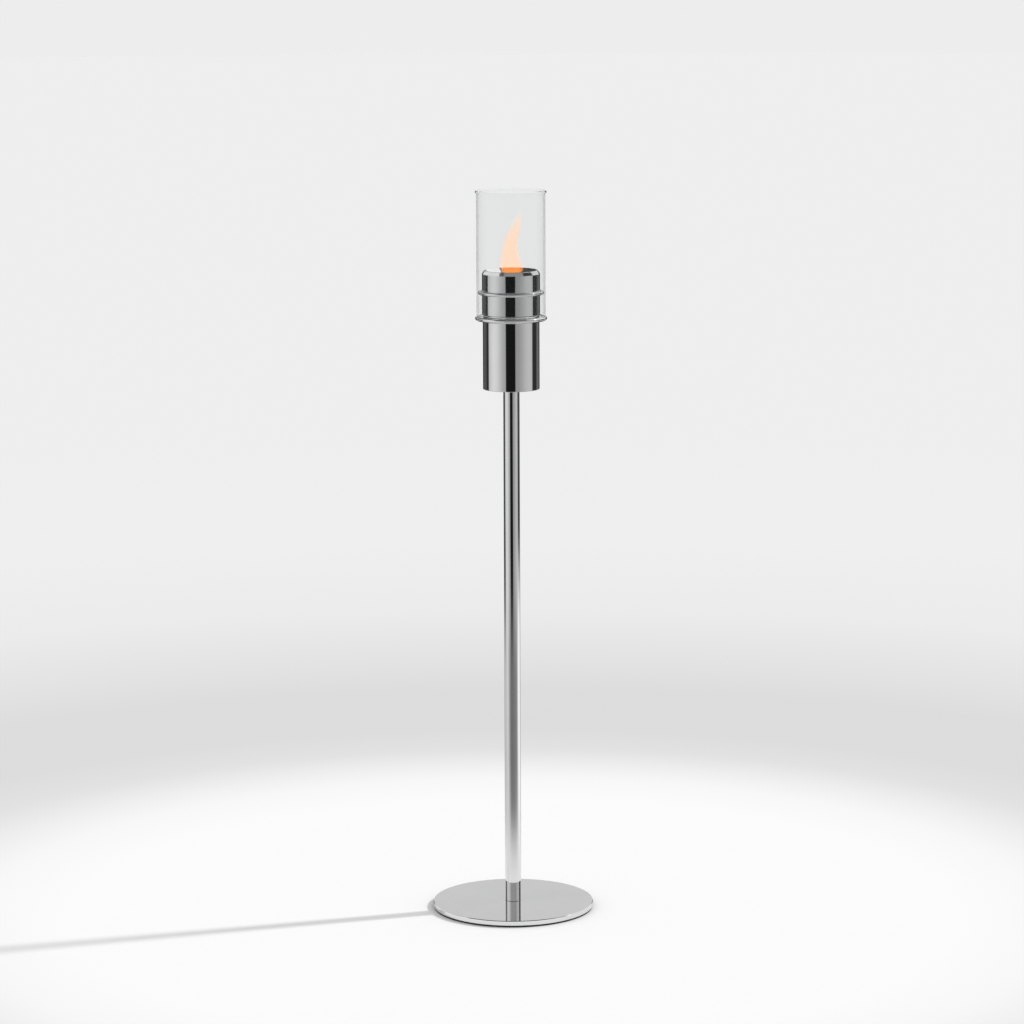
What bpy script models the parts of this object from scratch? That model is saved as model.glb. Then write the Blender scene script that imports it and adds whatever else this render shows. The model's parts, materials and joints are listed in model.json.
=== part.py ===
"""Free-standing garden oil torch: foot plate, pole, cup, lift-out burner, two wire rings and glass.

Units are metres and +Z is up. The origin is the centre of the foot's underside. Nearly every piece is
turned about the Z axis, so its shape is an outline of (radius, height) points that is spun once round.
"""
import math

import bmesh
import bpy
from mathutils import Matrix

MM = 0.001
GAP = 0.3 * MM               # left between two pieces that touch
FULL_TURN = 2.0 * math.pi

# Smoothness of the turned pieces
WIDE_STEPS = 48              # foot, cup, burner, rings and glass
SLIM_STEPS = 32              # pole, inserts and wick holder
SCREW_STEPS = 24             # bolts, washers, wick and pins
WIRE_STEPS = 12              # round section of a ring's wire

# Foot
FOOT_RADIUS = 125.0 * MM
PAD_THICKNESS = 2.3 * MM
PAD_INSET = 1.0 * MM
PAD_HOLE_RADIUS = 30.0 * MM
PLATE_BOTTOM = PAD_THICKNESS + GAP
PLATE_TOP = 10.0 * MM
PLATE_TOP_CHAMFER = 0.8 * MM
PLATE_LOW_CHAMFER = 0.5 * MM
COUNTERBORE_RADIUS = 9.5 * MM
COUNTERBORE_TOP = 6.5 * MM

# M8 button-head bolts and their washers
BOLT_RADIUS = 4.0 * MM
BOLT_HOLE_RADIUS = 4.5 * MM
THREAD_BORE_RADIUS = BOLT_RADIUS + GAP
BOLT_HEAD_RADIUS = 7.0 * MM
BOLT_HEAD_HEIGHT = 3.8 * MM
BOLT_HEAD_ROUND = 1.6 * MM
BOLT_LENGTH = 29.0 * MM
BOLT_TIP_CHAMFER = 1.0 * MM
SOCKET_RADIUS = 2.9 * MM     # across the corners of the hexagon, halved
SOCKET_DEPTH = 2.2 * MM
WASHER_THICKNESS = 1.6 * MM
WASHER_RADIUS = 8.5 * MM

# Pole
POLE_RADIUS = 12.5 * MM
POLE_WALL = 1.5 * MM
INSERT_LENGTH = 32.0 * MM
INSERT_CHAMFER = 1.0 * MM

# Holder cup
CUP_BOTTOM = 818.5 * MM
CUP_RIM = 985.0 * MM
CUP_RADIUS = 43.4 * MM
CUP_WALL = 0.8 * MM
CUP_FLOOR = 1.5 * MM
CUP_CORNER = 1.2 * MM

# Oil can, which hangs in the cup by its flange
CAN_BOTTOM = 831.5 * MM
CAN_RADIUS = 41.9 * MM
CAN_WALL = 0.7 * MM
CAN_CORNER = 4.0 * MM
FLANGE_THICKNESS = 0.8 * MM

# Burner head: sleeve, shoulder, rim and a 45 degree funnel with a flat seat
SLEEVE_RADIUS = 44.4 * MM
SLEEVE_WALL = 0.6 * MM
SLEEVE_BOTTOM = 932.8 * MM
SLEEVE_LOW_CHAMFER = 1.2 * MM
SLEEVE_EDGE = 0.25 * MM
SHOULDER_BOTTOM = 995.5 * MM
SHOULDER_TOP = 1000.6 * MM
SHOULDER_TOP_RADIUS = 41.2 * MM
RIM_TOP = 1001.0 * MM
RIM_OUTER_RADIUS = 40.8 * MM
RIM_INNER_RADIUS = 40.2 * MM
FUNNEL_TOP_RADIUS = 40.0 * MM
FUNNEL_SEAT_RADIUS = 14.0 * MM
FUNNEL_HOLE_RADIUS = 9.0 * MM
FUNNEL_WALL = 0.8 * MM
FUNNEL_LIP_DROP = 0.2 * MM   # from the rim's top to where the cone starts
UNDER_RIM_RADIUS = 40.56 * MM        # where the funnel's and the shoulder's inner sides meet
SHOULDER_INNER_DROP = 0.4 * MM       # of the shoulder's lower bend, inside the sleeve

# Wire rings and the pins that carry them
LOWER_RING_HEIGHT = 927.3 * MM
LOWER_RING_RADIUS = 52.0 * MM
LOWER_WIRE_RADIUS = 3.0 * MM
UPPER_RING_HEIGHT = 966.8 * MM
UPPER_RING_RADIUS = 47.9 * MM
UPPER_WIRE_RADIUS = 2.8 * MM
PIN_RADIUS = 1.4 * MM
PIN_STOP_SHORT = 0.5         # a pin ends this share of the wire's radius before the wire's centre
PIN_CUTTER_REACH = 1.2 * MM  # the hole's cutter starts this far inside the wall
PIN_ANGLES = (90.0, 210.0, 330.0)    # degrees from +X: one at the back, two beside the front
PIN_TWIST = 8.0              # degrees that keep a pin's corners off the ring's own corners

# Glass
GLASS_RADIUS = 52.6 * MM
GLASS_WALL = 1.6 * MM
GLASS_TOP = 1122.0 * MM
GLASS_BEAD_RADIUS = 54.4 * MM
GLASS_BEAD_HEIGHT = 3.6 * MM

# Wick holder and wick
GASKET_THICKNESS = 1.0 * MM
GASKET_INNER_RADIUS = 9.4 * MM
GASKET_OUTER_RADIUS = 12.6 * MM
COLLAR_RADIUS = 13.2 * MM
COLLAR_THICKNESS = 2.2 * MM
COLLAR_CHAMFER = 0.5 * MM
WICK_TUBE_RADIUS = 7.3 * MM
WICK_TUBE_WALL = 1.0 * MM
WICK_TUBE_BOTTOM = 950.0 * MM
WICK_TUBE_TOP = 987.0 * MM
WICK_RADIUS = 5.9 * MM
WICK_BOTTOM = 838.0 * MM
WICK_TOP = 994.0 * MM
WICK_ROUND = 1.2 * MM

MERGE_DISTANCE = 0.000001
SHARP_ANGLE = math.radians(30.0)


def clear_scene():
    for old in list(bpy.data.objects):
        bpy.data.objects.remove(old, do_unlink=True)


def make_material(name, color, metallic, roughness):
    material = bpy.data.materials.new(name)
    material.use_nodes = True
    shader = material.node_tree.nodes["Principled BSDF"]
    shader.inputs["Base Color"].default_value = (*color, 1.0)
    shader.inputs["Metallic"].default_value = metallic
    shader.inputs["Roughness"].default_value = roughness
    material.diffuse_color = (*color, 1.0)
    return material


def make_glass_material():
    material = make_material("clear_glass", (0.96, 0.98, 0.98), 0.0, 0.02)
    material.node_tree.nodes["Principled BSDF"].inputs["Transmission Weight"].default_value = 1.0
    return material


def make_body(name, height, parent=None):
    """An empty on the Z axis that a group of pieces moves with."""
    body = bpy.data.objects.new(name, None)
    body.empty_display_size = 0.03
    bpy.context.scene.collection.objects.link(body)
    seat(body, height, parent)
    return body


def world_height(body):
    height = 0.0
    while body is not None:
        height += body.location.z
        body = body.parent
    return height


def seat(piece, height, parent):
    """Set a piece's origin at a height on the Z axis, under its parent."""
    piece.parent = parent
    piece.location.z = height - world_height(parent)


def make_object(name, mesh_data, material):
    mesh = bpy.data.meshes.new(name)
    mesh_data.to_mesh(mesh)
    mesh_data.free()
    mesh.shade_smooth()
    mesh.set_sharp_from_angle(angle=SHARP_ANGLE)
    mesh.materials.append(material)
    piece = bpy.data.objects.new(name, mesh)
    bpy.context.scene.collection.objects.link(piece)
    return piece


def arc(center_radius, center_height, radius, start, end, steps):
    """Points on an arc in the (radius, height) plane, angles in degrees from the outward direction."""
    points = []
    for step in range(steps + 1):
        angle = math.radians(start + (end - start) * step / steps)
        points.append((center_radius + radius * math.cos(angle), center_height + radius * math.sin(angle)))
    return points


def turn(name, outline, height, steps, material, parent, closed=True):
    """Spin an outline of world (radius, height) points about Z. An open outline ends on the axis."""
    spun = bmesh.new()
    points = [spun.verts.new((radius, 0.0, level - height)) for radius, level in outline]
    edges = [spun.edges.new(pair) for pair in zip(points, points[1:])]
    if closed:
        edges.append(spun.edges.new((points[-1], points[0])))
    bmesh.ops.spin(
        spun, geom=points + edges, cent=(0.0, 0.0, 0.0), axis=(0.0, 0.0, 1.0),
        angle=FULL_TURN, steps=steps, use_merge=True, use_duplicate=False,
    )
    bmesh.ops.remove_doubles(spun, verts=spun.verts, dist=MERGE_DISTANCE)
    bmesh.ops.recalc_face_normals(spun, faces=spun.faces)
    piece = make_object(name, spun, material)
    seat(piece, height, parent)
    return piece


def cut(piece, cutter):
    """Take a cutter's shape out of a piece."""
    cutter.hide_render = True
    cutter.display_type = "WIRE"
    boolean = piece.modifiers.new(cutter.name, "BOOLEAN")
    boolean.operation = "DIFFERENCE"
    boolean.solver = "EXACT"
    boolean.object = cutter


def radial_rods(name, radius, inner, outer, height, material, parent, angles):
    """Rods that point straight out from the Z axis, in one mesh."""
    rods = bmesh.new()
    length = outer - inner
    for angle in angles:
        twist = Matrix.Rotation(math.radians(PIN_TWIST), 4, "Z")
        lie_down = Matrix.Rotation(math.radians(90.0), 4, "Y")
        move_out = Matrix.Translation((inner + length / 2.0, 0.0, 0.0))
        swing = Matrix.Rotation(math.radians(angle), 4, "Z")
        bmesh.ops.create_cone(
            rods, cap_ends=True, segments=WIRE_STEPS, radius1=radius, radius2=radius, depth=length,
            matrix=swing @ move_out @ lie_down @ twist,
        )
    piece = make_object(name, rods, material)
    seat(piece, height, parent)
    return piece


def make_foot(parent, steel, rubber):
    pad_radius = FOOT_RADIUS - PAD_INSET
    turn(
        "base_pad",
        [(PAD_HOLE_RADIUS, 0.0), (pad_radius, 0.0), (pad_radius, PAD_THICKNESS),
         (PAD_HOLE_RADIUS, PAD_THICKNESS)],
        0.0, WIDE_STEPS, rubber, parent,
    )
    turn(
        "base_plate",
        [(BOLT_HOLE_RADIUS, PLATE_TOP), (BOLT_HOLE_RADIUS, COUNTERBORE_TOP),
         (COUNTERBORE_RADIUS, COUNTERBORE_TOP), (COUNTERBORE_RADIUS, PLATE_BOTTOM),
         (FOOT_RADIUS - PLATE_LOW_CHAMFER, PLATE_BOTTOM), (FOOT_RADIUS, PLATE_BOTTOM + PLATE_LOW_CHAMFER),
         (FOOT_RADIUS, PLATE_TOP - PLATE_TOP_CHAMFER), (FOOT_RADIUS - PLATE_TOP_CHAMFER, PLATE_TOP)],
        PLATE_BOTTOM, WIDE_STEPS, steel, parent,
    )


def make_bolt(name, seat_height, toward, material, parent):
    """A button-head bolt whose head's flat side is at seat_height; toward is +1 for a shank going up."""
    head_end = seat_height - toward * BOLT_HEAD_HEIGHT
    round_start = head_end + toward * BOLT_HEAD_ROUND
    tip = seat_height + toward * BOLT_LENGTH
    outline = [
        (0.0, head_end),
        (BOLT_HEAD_RADIUS - BOLT_HEAD_ROUND, head_end),
        (BOLT_HEAD_RADIUS, round_start),
        (BOLT_HEAD_RADIUS, seat_height),
        (BOLT_RADIUS, seat_height),
        (BOLT_RADIUS, tip - toward * BOLT_TIP_CHAMFER),
        (BOLT_RADIUS - BOLT_TIP_CHAMFER, tip),
        (0.0, tip),
    ]
    bolt = turn(name, outline, seat_height, SCREW_STEPS, material, parent, closed=False)
    hexagon = bmesh.new()
    bmesh.ops.create_cone(
        hexagon, cap_ends=True, segments=6, radius1=SOCKET_RADIUS, radius2=SOCKET_RADIUS,
        depth=2.0 * SOCKET_DEPTH,
    )
    socket = make_object(name + "_socket", hexagon, material)
    seat(socket, head_end, parent)
    cut(bolt, socket)


def make_washer(name, bottom, material, parent):
    top = bottom + WASHER_THICKNESS
    turn(
        name,
        [(THREAD_BORE_RADIUS, bottom), (WASHER_RADIUS, bottom), (WASHER_RADIUS, top),
         (THREAD_BORE_RADIUS, top)],
        bottom, SCREW_STEPS, material, parent,
    )


def make_insert(name, bottom, material, parent):
    """Threaded plug that fills one end of the pole."""
    top = bottom + INSERT_LENGTH
    radius = POLE_RADIUS - POLE_WALL - GAP
    turn(
        name,
        [(THREAD_BORE_RADIUS, bottom), (radius - INSERT_CHAMFER, bottom), (radius, bottom + INSERT_CHAMFER),
         (radius, top - INSERT_CHAMFER), (radius - INSERT_CHAMFER, top), (THREAD_BORE_RADIUS, top)],
        bottom, SLIM_STEPS, material, parent,
    )


def make_pole(parent, steel, zinc):
    bottom = PLATE_TOP + GAP
    top = CUP_BOTTOM - GAP
    bore = POLE_RADIUS - POLE_WALL
    turn(
        "pole_tube",
        [(bore, bottom), (POLE_RADIUS, bottom), (POLE_RADIUS, top), (bore, top)],
        bottom, SLIM_STEPS, steel, parent,
    )
    make_insert("pole_foot_insert", bottom, zinc, parent)
    make_insert("pole_head_insert", top - INSERT_LENGTH, zinc, parent)
    washer_bottom = COUNTERBORE_TOP - GAP - WASHER_THICKNESS
    make_washer("base_washer", washer_bottom, zinc, parent)
    make_bolt("base_bolt", washer_bottom - GAP, 1.0, zinc, parent)


def make_cup(parent, steel, zinc):
    floor_top = CUP_BOTTOM + CUP_FLOOR
    bore = CUP_RADIUS - CUP_WALL
    outer_corner = arc(CUP_RADIUS - CUP_CORNER, CUP_BOTTOM + CUP_CORNER, CUP_CORNER, -90.0, 0.0, 3)
    outline = [(BOLT_HOLE_RADIUS, floor_top), (BOLT_HOLE_RADIUS, CUP_BOTTOM)]
    outline += outer_corner
    outline += [(CUP_RADIUS, CUP_RIM), (bore, CUP_RIM), (bore, floor_top)]
    cup = turn("holder_cup", outline, CUP_BOTTOM, WIDE_STEPS, steel, parent)
    make_washer("cup_washer", floor_top + GAP, zinc, parent)
    make_bolt("cup_bolt", floor_top + 2.0 * GAP + WASHER_THICKNESS, -1.0, zinc, parent)
    return cup


def make_ring(name, height, ring_radius, wire_radius, wall_radius, material, parent, wall_piece):
    """A wire ring carried by three pins, which sit in holes in the ring and in the wall behind it."""
    outline = arc(ring_radius, height, wire_radius, 0.0, 360.0, WIRE_STEPS)[:-1]
    ring = turn(name, outline, height, WIDE_STEPS, material, parent)
    pin_end = ring_radius - wire_radius * PIN_STOP_SHORT
    for number, angle in enumerate(PIN_ANGLES, start=1):
        radial_rods(
            f"{name}_pin_{number}", PIN_RADIUS, wall_radius, pin_end, height, material, parent, [angle],
        )
    holes = radial_rods(
        name + "_pin_holes", PIN_RADIUS + GAP, wall_radius - PIN_CUTTER_REACH, pin_end + GAP,
        height, material, parent, PIN_ANGLES,
    )
    cut(ring, holes)
    cut(wall_piece, holes)


def make_oil_can(parent, steel):
    bore = CAN_RADIUS - CAN_WALL
    flange_bottom = CUP_RIM + GAP
    flange_top = flange_bottom + FLANGE_THICKNESS
    corner_height = CAN_BOTTOM + CAN_CORNER
    outline = [(0.0, CAN_BOTTOM)]
    outline += arc(CAN_RADIUS - CAN_CORNER, corner_height, CAN_CORNER, -90.0, 0.0, 4)
    outline += [(CAN_RADIUS, flange_bottom), (CUP_RADIUS, flange_bottom), (CUP_RADIUS, flange_top),
                (bore, flange_top)]
    outline += arc(CAN_RADIUS - CAN_CORNER, corner_height, CAN_CORNER - CAN_WALL, 0.0, -90.0, 4)
    outline += [(0.0, CAN_BOTTOM + CAN_WALL)]
    turn("oil_can", outline, CUP_RIM, WIDE_STEPS, steel, parent, closed=False)


def make_burner_head(parent, steel):
    sleeve_bore = SLEEVE_RADIUS - SLEEVE_WALL
    cone_top = RIM_TOP - FUNNEL_LIP_DROP
    seat_height = cone_top - (FUNNEL_TOP_RADIUS - FUNNEL_SEAT_RADIUS)
    # The funnel's underside is its upper side moved square to the 45 degree slope.
    cone_offset = FUNNEL_WALL * math.sqrt(2.0)
    under_seat = seat_height - FUNNEL_WALL
    under_seat_radius = FUNNEL_SEAT_RADIUS - FUNNEL_WALL + cone_offset
    under_rim = UNDER_RIM_RADIUS + cone_top - FUNNEL_TOP_RADIUS - cone_offset
    outline = [
        (sleeve_bore, SLEEVE_BOTTOM),
        (sleeve_bore + SLEEVE_EDGE, SLEEVE_BOTTOM),
        (SLEEVE_RADIUS, SLEEVE_BOTTOM + SLEEVE_LOW_CHAMFER),
        (SLEEVE_RADIUS, SHOULDER_BOTTOM),
        (SHOULDER_TOP_RADIUS, SHOULDER_TOP),
        (RIM_OUTER_RADIUS, RIM_TOP),
        (RIM_INNER_RADIUS, RIM_TOP),
        (FUNNEL_TOP_RADIUS, cone_top),
        (FUNNEL_SEAT_RADIUS, seat_height),
        (FUNNEL_HOLE_RADIUS, seat_height),
        (FUNNEL_HOLE_RADIUS, under_seat),
        (under_seat_radius, under_seat),
        (UNDER_RIM_RADIUS, under_rim),
        (sleeve_bore, SHOULDER_BOTTOM - SHOULDER_INNER_DROP),
    ]
    return turn("burner_head", outline, CUP_RIM, WIDE_STEPS, steel, parent), seat_height


def make_wick_holder(parent, seat_height, steel, brass, rubber):
    gasket_bottom = seat_height + GAP
    gasket_top = gasket_bottom + GASKET_THICKNESS
    turn(
        "collar_gasket",
        [(GASKET_INNER_RADIUS, gasket_bottom), (GASKET_OUTER_RADIUS, gasket_bottom),
         (GASKET_OUTER_RADIUS, gasket_top), (GASKET_INNER_RADIUS, gasket_top)],
        gasket_bottom, SLIM_STEPS, rubber, parent,
    )
    bottom = gasket_top + GAP
    top = bottom + COLLAR_THICKNESS
    hole = WICK_TUBE_RADIUS + GAP
    turn(
        "wick_collar",
        [(hole, bottom), (COLLAR_RADIUS - COLLAR_CHAMFER, bottom), (COLLAR_RADIUS, bottom + COLLAR_CHAMFER),
         (COLLAR_RADIUS, top - COLLAR_CHAMFER), (COLLAR_RADIUS - COLLAR_CHAMFER, top), (hole, top)],
        bottom, SLIM_STEPS, steel, parent,
    )
    bore = WICK_TUBE_RADIUS - WICK_TUBE_WALL
    turn(
        "wick_tube",
        [(bore, WICK_TUBE_BOTTOM), (WICK_TUBE_RADIUS, WICK_TUBE_BOTTOM), (WICK_TUBE_RADIUS, WICK_TUBE_TOP),
         (bore, WICK_TUBE_TOP)],
        bottom, SLIM_STEPS, brass, parent,
    )


def make_wick(parent, fibre):
    outline = [(0.0, WICK_BOTTOM), (WICK_RADIUS, WICK_BOTTOM)]
    outline += arc(WICK_RADIUS - WICK_ROUND, WICK_TOP - WICK_ROUND, WICK_ROUND, 0.0, 90.0, 3)
    outline += [(0.0, WICK_TOP)]
    turn("wick", outline, WICK_TUBE_TOP, SCREW_STEPS, fibre, parent, closed=False)


def make_glass(parent, glass):
    bore = GLASS_RADIUS - GLASS_WALL
    bottom = LOWER_RING_HEIGHT + LOWER_WIRE_RADIUS + GAP
    bead_bottom = GLASS_TOP - GLASS_BEAD_HEIGHT
    bead_center = GLASS_TOP - GLASS_BEAD_HEIGHT / 2.0
    bead_round = GLASS_BEAD_HEIGHT / 2.0
    outline = [(bore, bottom), (GLASS_RADIUS, bottom), (GLASS_RADIUS, bead_bottom)]
    outline += arc(GLASS_BEAD_RADIUS - bead_round, bead_center, bead_round, -60.0, 90.0, 5)
    outline += [(bore, GLASS_TOP)]
    turn("glass_chimney", outline, bottom, WIDE_STEPS, glass, parent)


def main():
    clear_scene()
    steel = make_material("polished_steel", (0.75, 0.75, 0.76), 1.0, 0.06)
    zinc = make_material("zinc_plated_steel", (0.55, 0.56, 0.58), 1.0, 0.35)
    brass = make_material("brass", (0.75, 0.58, 0.28), 1.0, 0.25)
    rubber = make_material("black_rubber", (0.02, 0.02, 0.02), 0.0, 0.8)
    fibre = make_material("glass_fibre_wick", (0.85, 0.83, 0.76), 0.0, 0.9)
    glass = make_glass_material()

    stand = make_body("stand", 0.0)
    burner = make_body("burner", CUP_RIM, stand)
    glass_body = make_body("glass", LOWER_RING_HEIGHT + LOWER_WIRE_RADIUS, stand)

    make_foot(stand, steel, rubber)
    make_pole(stand, steel, zinc)
    cup = make_cup(stand, steel, zinc)
    make_ring("lower_ring", LOWER_RING_HEIGHT, LOWER_RING_RADIUS, LOWER_WIRE_RADIUS,
              CUP_RADIUS - CUP_WALL, steel, stand, cup)

    make_oil_can(burner, steel)
    head, seat_height = make_burner_head(burner, steel)
    make_ring("upper_ring", UPPER_RING_HEIGHT, UPPER_RING_RADIUS, UPPER_WIRE_RADIUS,
              SLEEVE_RADIUS - SLEEVE_WALL, steel, burner, head)

    wick_holder = make_body("wick_holder", seat_height, burner)
    make_wick_holder(wick_holder, seat_height, steel, brass, rubber)
    wick_body = make_body("wick_slide", WICK_TUBE_TOP, wick_holder)
    make_wick(wick_body, fibre)
    make_glass(glass_body, glass)


main()
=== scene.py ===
"""Looks of the garden oil torch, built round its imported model.

Nearly every piece is turned about the Z axis, like its solid, but with a fine surface and small rounded
edges. Units are metres. Places and outer sizes come from the solids' boxes. Only what a box can't show, such
as a wall's thickness or an edge's round, is named here.
"""

import json
import math

import bmesh
import bpy
from mathutils import Matrix, Vector

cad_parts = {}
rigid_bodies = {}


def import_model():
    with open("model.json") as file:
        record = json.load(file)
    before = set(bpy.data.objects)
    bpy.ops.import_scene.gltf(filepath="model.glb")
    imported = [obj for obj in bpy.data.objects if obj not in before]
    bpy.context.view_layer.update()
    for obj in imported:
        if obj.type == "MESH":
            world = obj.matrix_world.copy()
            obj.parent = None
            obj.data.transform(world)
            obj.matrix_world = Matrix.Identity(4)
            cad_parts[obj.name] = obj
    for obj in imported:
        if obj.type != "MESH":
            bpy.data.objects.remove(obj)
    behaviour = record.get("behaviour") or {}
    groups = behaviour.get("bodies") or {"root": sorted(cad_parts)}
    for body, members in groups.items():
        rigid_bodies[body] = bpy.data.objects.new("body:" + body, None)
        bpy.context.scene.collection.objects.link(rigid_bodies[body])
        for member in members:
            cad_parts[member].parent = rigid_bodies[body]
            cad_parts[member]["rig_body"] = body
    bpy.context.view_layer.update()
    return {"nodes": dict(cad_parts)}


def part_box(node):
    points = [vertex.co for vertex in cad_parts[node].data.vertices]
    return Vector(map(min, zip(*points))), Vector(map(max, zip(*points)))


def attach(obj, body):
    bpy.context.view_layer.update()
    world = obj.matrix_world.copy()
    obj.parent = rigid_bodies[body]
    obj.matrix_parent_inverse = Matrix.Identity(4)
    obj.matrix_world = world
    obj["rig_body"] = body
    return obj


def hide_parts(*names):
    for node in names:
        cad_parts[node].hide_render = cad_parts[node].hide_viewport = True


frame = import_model()

MM = 0.001
FULL_TURN = 2.0 * math.pi
GAP = 0.3 * MM

# Smoothness
WIDE_STEPS = 192             # foot, cup, burner, rings and glass
SLIM_STEPS = 96              # pole and wick holder
SCREW_STEPS = 72             # bolts, washers and pins
ROUND_STEPS = 5              # facets of a rounded edge
WIRE_STEPS = 40              # round section of a ring's wire
SHARP_ANGLE = math.radians(38.0)

# What the solids' boxes can't show
EDGE = 0.25 * MM             # round of an ordinary deburred edge, and of the others by their sharpness
CRISP_EDGE = 0.1 * MM
FINE_EDGE = 0.15 * MM
NEAT_EDGE = 0.2 * MM
DULL_EDGE = 0.3 * MM
SOFT_EDGE = 0.5 * MM
PAD_HOLE_RADIUS = 30.0 * MM
PLATE_CHAMFER = 0.8 * MM
BOLT_HOLE_RADIUS = 4.5 * MM
COUNTERBORE_RADIUS = 9.5 * MM
COUNTERBORE_TOP = 6.5 * MM
BOLT_RADIUS = 4.0 * MM
BOLT_HEAD_RADIUS = 7.0 * MM
BOLT_HEAD_HEIGHT = 3.8 * MM
BOLT_HEAD_ROUND = 2.0 * MM
BOLT_TIP_ROUND = 0.8 * MM
SOCKET_RADIUS = 2.9 * MM
SOCKET_RIM = 0.5 * MM        # flat ring round the socket
SOCKET_DEPTH = 2.2 * MM
POLE_WALL = 1.5 * MM
CUP_WALL = 0.8 * MM
CUP_FLOOR = 1.5 * MM
CUP_ROUND = 0.6 * MM
CUP_INNER_ROUND = 0.8 * MM
CAN_RADIUS = 41.9 * MM
CAN_WALL = 0.7 * MM
CAN_CORNER = 4.0 * MM
FLANGE_THICKNESS = 0.8 * MM
SLEEVE_WALL = 0.6 * MM
SLEEVE_LOW_CHAMFER = 1.2 * MM
SLEEVE_LOW_FACE = 0.25 * MM
SHOULDER_DROP = 5.5 * MM     # the shoulder's lower bend, under the rim's top
SHOULDER_RISE = 5.1 * MM
SHOULDER_INSET = 3.2 * MM    # the shoulder's upper bend, inside the sleeve's outer side
RIM_OUTER_RADIUS = 40.8 * MM
RIM_INNER_RADIUS = 40.2 * MM
FUNNEL_TOP_RADIUS = 40.0 * MM
FUNNEL_SEAT_RADIUS = 14.0 * MM
FUNNEL_HOLE_RADIUS = 9.0 * MM
FUNNEL_WALL = 0.8 * MM
FUNNEL_BEND = 1.5 * MM
FUNNEL_LIP_DROP = 0.2 * MM
UNDER_RIM_RADIUS = 40.56 * MM
INNER_BEND_DROP = 0.4 * MM   # the shoulder's bend inside, under the one outside
PIN_RADIUS = 1.4 * MM
PIN_WELD_RADIUS = 2.1 * MM   # where a pin flares out into its weld
PIN_ANGLES = (90.0, 210.0, 330.0)
PIN_ROOT = 0.2 * MM          # depth in the wall
PIN_END_SHARE = 0.6          # how far short of the wire's middle a pin ends, as a share of the wire's radius
WELD_HEIGHT = 0.1 * MM
FLARE_ROUND = 0.4 * MM
GLASS_WALL = 1.6 * MM
GLASS_RADIUS = 52.6 * MM
GLASS_BEAD_HEIGHT = 3.6 * MM
GLASS_BEAD_SLOPE = 0.6 * MM  # half the height over which the wall widens into the bead
GLASS_BEAD_ROUND = 1.2 * MM
GLASS_LIP_ROUND = 1.4 * MM
GLASS_NECK_ROUND = 1.5 * MM
GLASS_FOOT_ROUND = 0.7 * MM
GASKET_INNER_RADIUS = 9.4 * MM
COLLAR_CHAMFER = 0.5 * MM
COLLAR_FIT = 0.05 * MM       # gap round the wick tube
WICK_TUBE_WALL = 1.0 * MM
BRAID_STRANDS = 14
BRAID_PITCH = 22.0 * MM      # height of a strand's full turn
BRAID_DEPTH = 0.5 * MM
BRAID_STEPS = 168
BRAID_ROWS = 300
WICK_END_ROUND = 1.6 * MM    # height of the wick's rounded top end
WICK_END_SHARE = 0.55        # the end's radius, as a share of the wick's
WICK_END_DIP = 0.8 * MM      # hollow burnt into the end
WICK_HOLLOW_SHARE = 0.5
CHAR_START = 19.8 * MM       # below the wick's top
CHAR_END = 2.7 * MM
CHAR_DRIFT = 6.0 * MM        # how far patches move the char up or down
HEAT_START = 12.0 * MM       # brass starts to brown, below the tube's top
HEAT_END = 6.0 * MM          # where it would be black, above the tube's top
HEAT_DRIFT = 8.0 * MM

# Flame: height above the wick's top, sideways shift and half width
FLAME_OUTLINE = (
    (-0.0035, 0.0000, 0.0050),
    (0.0000, 0.0008, 0.0100),
    (0.0050, 0.0016, 0.0160),
    (0.0110, 0.0008, 0.0178),
    (0.0190, -0.0006, 0.0162),
    (0.0300, -0.0015, 0.0142),
    (0.0400, -0.0016, 0.0128),
    (0.0500, 0.0004, 0.0112),
    (0.0620, 0.0026, 0.0100),
    (0.0740, 0.0062, 0.0078),
    (0.0850, 0.0106, 0.0048),
    (0.0970, 0.0136, 0.0004),
)
FLAME_SHELLS = (1.0, 0.93, 0.85, 0.68)               # sizes of the shells
FLAME_SHELL_HEIGHT = 0.55                            # share of a shell's height that its size doesn't change
FLAME_LOBES = ((3.0, 0.05, 90.0), (5.0, 0.03, -140.0))   # count round, depth, twist in radians per metre
FLAME_TIP_HALF = 0.2 * MM
FLAME_OPACITY = 0.064
FLAME_STRENGTH = 2.6
FLAME_STEPS = 64
FLAME_ROWS = 72

# Studio, as the polished steel mirrors it. Each band is a row of (azimuth in degrees from the front,
# brightness), and the bands follow each other from the ground up.
DEEP_GROUND = ((0.0, 0.62), (30.0, 0.66), (90.0, 0.70), (108.0, 0.60), (124.0, 0.06), (180.0, 0.06))
NEAR_GROUND = (
    (-180.0, 0.9), (-123.0, 0.86), (-90.0, 0.80), (-55.0, 0.80), (-35.0, 0.55), (-15.0, 0.35), (30.0, 0.33),
    (60.0, 0.55), (80.0, 0.84), (100.0, 1.2), (130.0, 1.0), (180.0, 0.9),
)
FAR_GROUND = (
    (-180.0, 0.75), (-155.0, 0.70), (-117.0, 0.64), (-93.0, 0.70), (-74.0, 0.80), (-57.0, 0.66),
    (-42.0, 0.40), (-27.0, 0.24), (-11.0, 0.19), (30.0, 0.23), (57.0, 0.28), (68.0, 0.38), (79.0, 0.66),
    (94.0, 1.15), (104.0, 1.25), (124.0, 1.0), (160.0, 0.75), (180.0, 0.75),
)
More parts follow.
